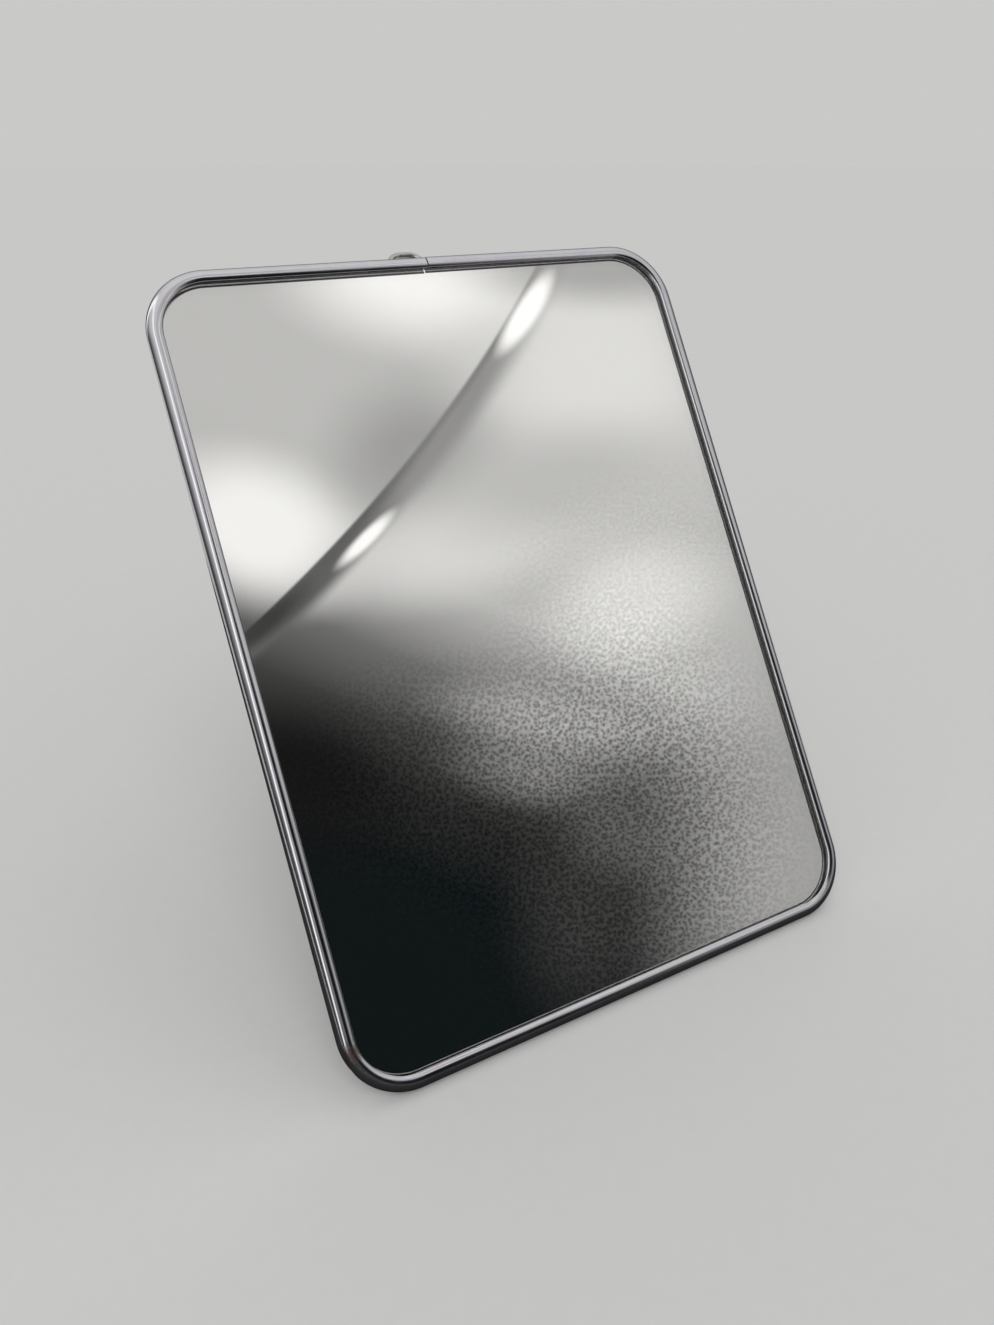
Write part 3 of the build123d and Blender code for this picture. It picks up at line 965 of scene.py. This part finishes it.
def canopy_with_fold(tree, across, down, place):
    """A pale canopy that darkens downwards on a slant, with soft glows and one long fold."""
    slant = add_node(
        tree, "ShaderNodeMath", {0: across, 1: CANOPY_SLANT, 2: down}, operation="MULTIPLY_ADD"
    ).outputs[0]
    fall = add_node(
        tree, "ShaderNodeMapRange", {"Value": slant, "From Min": -0.4, "From Max": 0.4}
    ).outputs["Result"]
    ground = add_node(
        tree, "ShaderNodeValToRGB", {"Fac": fall},
        stops=(
            (0.0, 0.515), (0.3, 0.545), (0.43, 0.52), (0.49, 0.33), (0.545, 0.16), (0.63, 0.055),
            (0.71, 0.022), (0.8, (0.0062, 0.0092, 0.0100)),
        ),
    ).outputs[0]
    ground = soft_patches(tree, ground, place, CANOPY_GLOWS)
    # The fold runs down in a slow curve, with a crisp near edge and two bright glints in it
    start, slope, curve = FOLD_EDGE
    edge = curve
    for term in (slope, start):
        edge = add_node(
            tree, "ShaderNodeMath", {0: down, 1: edge, 2: term}, operation="MULTIPLY_ADD"
        ).outputs[0]
    beside = add_node(tree, "ShaderNodeMath", {0: across, 1: edge}, operation="SUBTRACT").outputs[0]
    fold_place = add_node(tree, "ShaderNodeCombineXYZ", {"X": beside, "Y": down}).outputs[0]
    fold = soft_patches(tree, ground, fold_place, FOLD_PATCHES)
    crisp = add_node(
        tree, "ShaderNodeMapRange", {"Value": beside, "From Min": -0.002, "From Max": 0.003},
        interpolation_type="SMOOTHSTEP",
    ).outputs["Result"]
    return add_node(
        tree, "ShaderNodeMix", {0: crisp, 6: ground, 7: fold}, data_type="RGBA"
    ).outputs[2]


def pebbled(tree, level, place):
    """Pebbled cloth over a level's low part: dark pits in a lighter net, with a fine sparkle."""
    shaken = add_node(
        tree, "ShaderNodeTexNoise", {"Vector": place, "Scale": 110.0, "Detail": 1.0}
    ).outputs["Color"]
    strayed = add_node(
        tree, "ShaderNodeVectorMath", {0: shaken, 1: (0.006, 0.006, 0), 2: place},
        operation="MULTIPLY_ADD",
    ).outputs[0]
    pits = add_node(
        tree, "ShaderNodeTexVoronoi", {"Vector": strayed, "Scale": 235.0}, voronoi_dimensions="2D"
    ).outputs["Distance"]
    fine = add_node(
        tree, "ShaderNodeTexNoise",
        {"Vector": place, "Scale": 330.0, "Detail": 2.0, "Roughness": 0.6},
    ).outputs["Fac"]
    nets, sparkle = [
        add_node(
            tree, "ShaderNodeMapRange",
            {"Value": value, "From Min": low, "From Max": high, "To Min": dark, "To Max": light},
        ).outputs["Result"]
        for value, low, high, dark, light in (
            (pits, 0.04, 0.55, 0.3, 1.3), (fine, 0.32, 0.68, 0.72, 1.28)
        )
    ]
    pebbles = add_node(
        tree, "ShaderNodeMath", {0: nets, 1: sparkle}, operation="MULTIPLY"
    ).outputs[0]
    for texture, patches in ((sparkle, SPARKLE_PATCHES), (pebbles, PEBBLE_PATCHES)):
        textured = add_node(
            tree, "ShaderNodeVectorMath", {0: level, "Scale": texture}, operation="SCALE"
        ).outputs[0]
        share = soft_patches(tree, (0, 0, 0), place, patches)
        level = add_node(
            tree, "ShaderNodeMix", {0: share, 6: level, 7: textured}, data_type="RGBA"
        ).outputs[2]
    return level


def studio_surround(tree):
    """What glass and metal see around the stage: a pale canopy in front, and a darker room."""
    direction = add_node(tree, "ShaderNodeTexCoord").outputs["Generated"]
    right, low, out = [
        add_node(
            tree, "ShaderNodeVectorMath", {0: direction, 1: axis}, operation="DOT_PRODUCT"
        ).outputs["Value"]
        for axis in CANOPY_AXES
    ]
    depth = add_node(
        tree, "ShaderNodeMath", {0: out, 1: CANOPY_NEAREST}, operation="MAXIMUM"
    ).outputs[0]
    across, down = [
        add_node(tree, "ShaderNodeMath", {0: value, 1: depth}, operation="DIVIDE").outputs[0]
        for value in (right, low)
    ]
    place = add_node(tree, "ShaderNodeCombineXYZ", {"X": across, "Y": down}).outputs[0]
    canopy = pebbled(tree, canopy_with_fold(tree, across, down, place), place)
    # The room behind: pale overhead, dark towards the horizon
    turned = add_node(tree, "ShaderNodeSeparateXYZ", {"Vector": direction}).outputs
    room = add_node(
        tree, "ShaderNodeValToRGB", {"Fac": turned["Z"]},
        stops=((0.0, 0.05), (0.18, 0.05), (0.4, 0.25), (0.65, 0.6), (1.0, 0.75)),
    ).outputs[0]
    room_place = add_node(
        tree, "ShaderNodeCombineXYZ", {"X": turned["X"], "Y": turned["Z"]}
    ).outputs[0]
    room = soft_patches(tree, room, room_place, TALL_LIGHT)
    facing = add_node(
        tree, "ShaderNodeMapRange", {"Value": out, "From Min": 0.78, "From Max": 0.88},
        interpolation_type="SMOOTHSTEP",
    ).outputs["Result"]
    return add_node(
        tree, "ShaderNodeMix", {0: facing, 6: room, 7: canopy}, data_type="RGBA"
    ).outputs[2]


def painted_floor(pale):
    """Matt painted board: plain and pale, with very faint mottling 5 mm across."""
    material, tree, place = start_material("plain_floor", pale)
    _, tone = clouds(tree, place, 200.0, 4.0, 0.5, ((0.3, shaded(pale, 0.985)), (0.7, pale)))
    return end_material(material, Base_Color=tone, Roughness=1.0, Specular_IOR_Level=0.0)


def light_world(world, pale, ambient):
    """Even light on matt things, the floor's colour behind, the surround for glass and metal."""
    world.use_nodes = True
    tree = world.node_tree
    tree.nodes.clear()
    rays = add_node(tree, "ShaderNodeLightPath").outputs
    even, backdrop, surround = [
        add_node(tree, "ShaderNodeBackground", {"Color": colour, "Strength": strength}).outputs[0]
        for colour, strength in (
            ((1, 1, 1), ambient), (pale, 1.0), (studio_surround(tree), CANOPY_STRENGTH)
        )
    ]
    shiny = add_node(
        tree, "ShaderNodeMath", {0: rays["Is Glossy Ray"], 1: rays["Is Transmission Ray"]},
        operation="MAXIMUM",
    ).outputs[0]
    seen = add_node(tree, "ShaderNodeMixShader", {0: shiny, 1: even, 2: surround}).outputs[0]
    light = add_node(
        tree, "ShaderNodeMixShader", {0: rays["Is Camera Ray"], 1: seen, 2: backdrop}
    ).outputs[0]
    add_node(tree, "ShaderNodeOutputWorld", {"Surface": light})


class MIRROR_OT_stage(Operator):
    """Lays the floor, hangs the lights and sets the camera"""

    bl_idname = "mirror.stage"
    bl_label = "Stage"

    def execute(self, context):
        scene, settings = context.scene, context.scene.mirror_stage
        scene.view_settings.view_transform = "Standard"
        pale = list(settings.floor)
        angles = [2 * pi * i / FLOOR_SIDES for i in range(FLOOR_SIDES)]
        floor = new_piece(
            "floor", [(FLOOR_RADIUS * cos(a), FLOOR_RADIUS * sin(a), 0) for a in angles],
            faces=[tuple(range(FLOOR_SIDES))],
        )
        floor.data.materials.append(painted_floor(pale))

        # A dark card on the floor, in front and to the left, draws the bead's dark edges, and only
        # the metal and the glass see it
        card = new_piece(
            "dark_card", [(x, y, CARD_HEIGHT) for x, y in CARD_OUTLINE],
            faces=[tuple(range(len(CARD_OUTLINE)))],
        )
        material, _, _ = start_material("black_card", linear("#262626"))
        card.data.materials.append(end_material(material, Roughness=0.95))
        for kind in ("camera", "diffuse", "transmission", "shadow"):
            setattr(card, "visible_" + kind, False)

        scene.world = scene.world or bpy.data.worlds.new("studio")
        light_world(scene.world, pale, settings.ambient)
        for name, strength, turn, spread in (
            ("key", settings.key, (38, 0, -30), 50), ("fill", settings.fill, (42, 0, 120), 70)
        ):
            lamp = bpy.data.lights.new(name, "SUN")
            lamp.energy = strength
            lamp.angle = radians(spread)
            holder = add_object(name, lamp)
            holder.rotation_euler = [radians(a) for a in turn]
            holder.visible_glossy = False
            holder.visible_transmission = False

        camera = bpy.data.cameras.new("camera")
        camera.lens = CAMERA_LENS
        camera.sensor_width = 36
        camera.sensor_fit = "AUTO"
        camera.clip_start = 0.01
        camera.clip_end = 50
        view = add_object("camera", camera)
        view.location = CAMERA_PLACE
        view.rotation_euler = CAMERA_TURN
        scene.camera = view
        return {"FINISHED"}


OPERATORS = (
    MIRROR_OT_bead, MIRROR_OT_glass, MIRROR_OT_layers, MIRROR_OT_sheet_parts, MIRROR_OT_rivets,
    MIRROR_OT_wires, MIRROR_OT_stage,
)
SETTINGS = {
    "mirror_panel": MirrorPanelSettings, "mirror_bead": MirrorBeadSettings,
    "mirror_back": MirrorBackSettings, "mirror_hardware": MirrorHardwareSettings,
    "mirror_stage": MirrorStageSettings,
}


class VIEW3D_PT_barber_mirror(Panel):
    """The mirror's sizes, colours and steps"""

    bl_label = "Barber Mirror"
    bl_space_type = "VIEW_3D"
    bl_region_type = "UI"
    bl_category = "Mirror"

    def draw(self, context):
        for name, group in SETTINGS.items():
            box = self.layout.box()
            for key in group.__annotations__:
                box.prop(getattr(context.scene, name), key)
        for step in OPERATORS:
            self.layout.operator(step.bl_idname)


def register():
    for kind in (*SETTINGS.values(), *OPERATORS, VIEW3D_PT_barber_mirror):
        bpy.utils.register_class(kind)
    for name, group in SETTINGS.items():
        setattr(bpy.types.Scene, name, PointerProperty(type=group))


def unregister():
    for name in SETTINGS:
        delattr(bpy.types.Scene, name)
    for kind in (VIEW3D_PT_barber_mirror, *reversed(OPERATORS), *reversed(SETTINGS.values())):
        bpy.utils.unregister_class(kind)


def main():
    register()
    for step in OPERATORS:
        group, name = step.bl_idname.split(".")
        getattr(getattr(bpy.ops, group), name)()


if __name__ == "__main__":
    main()
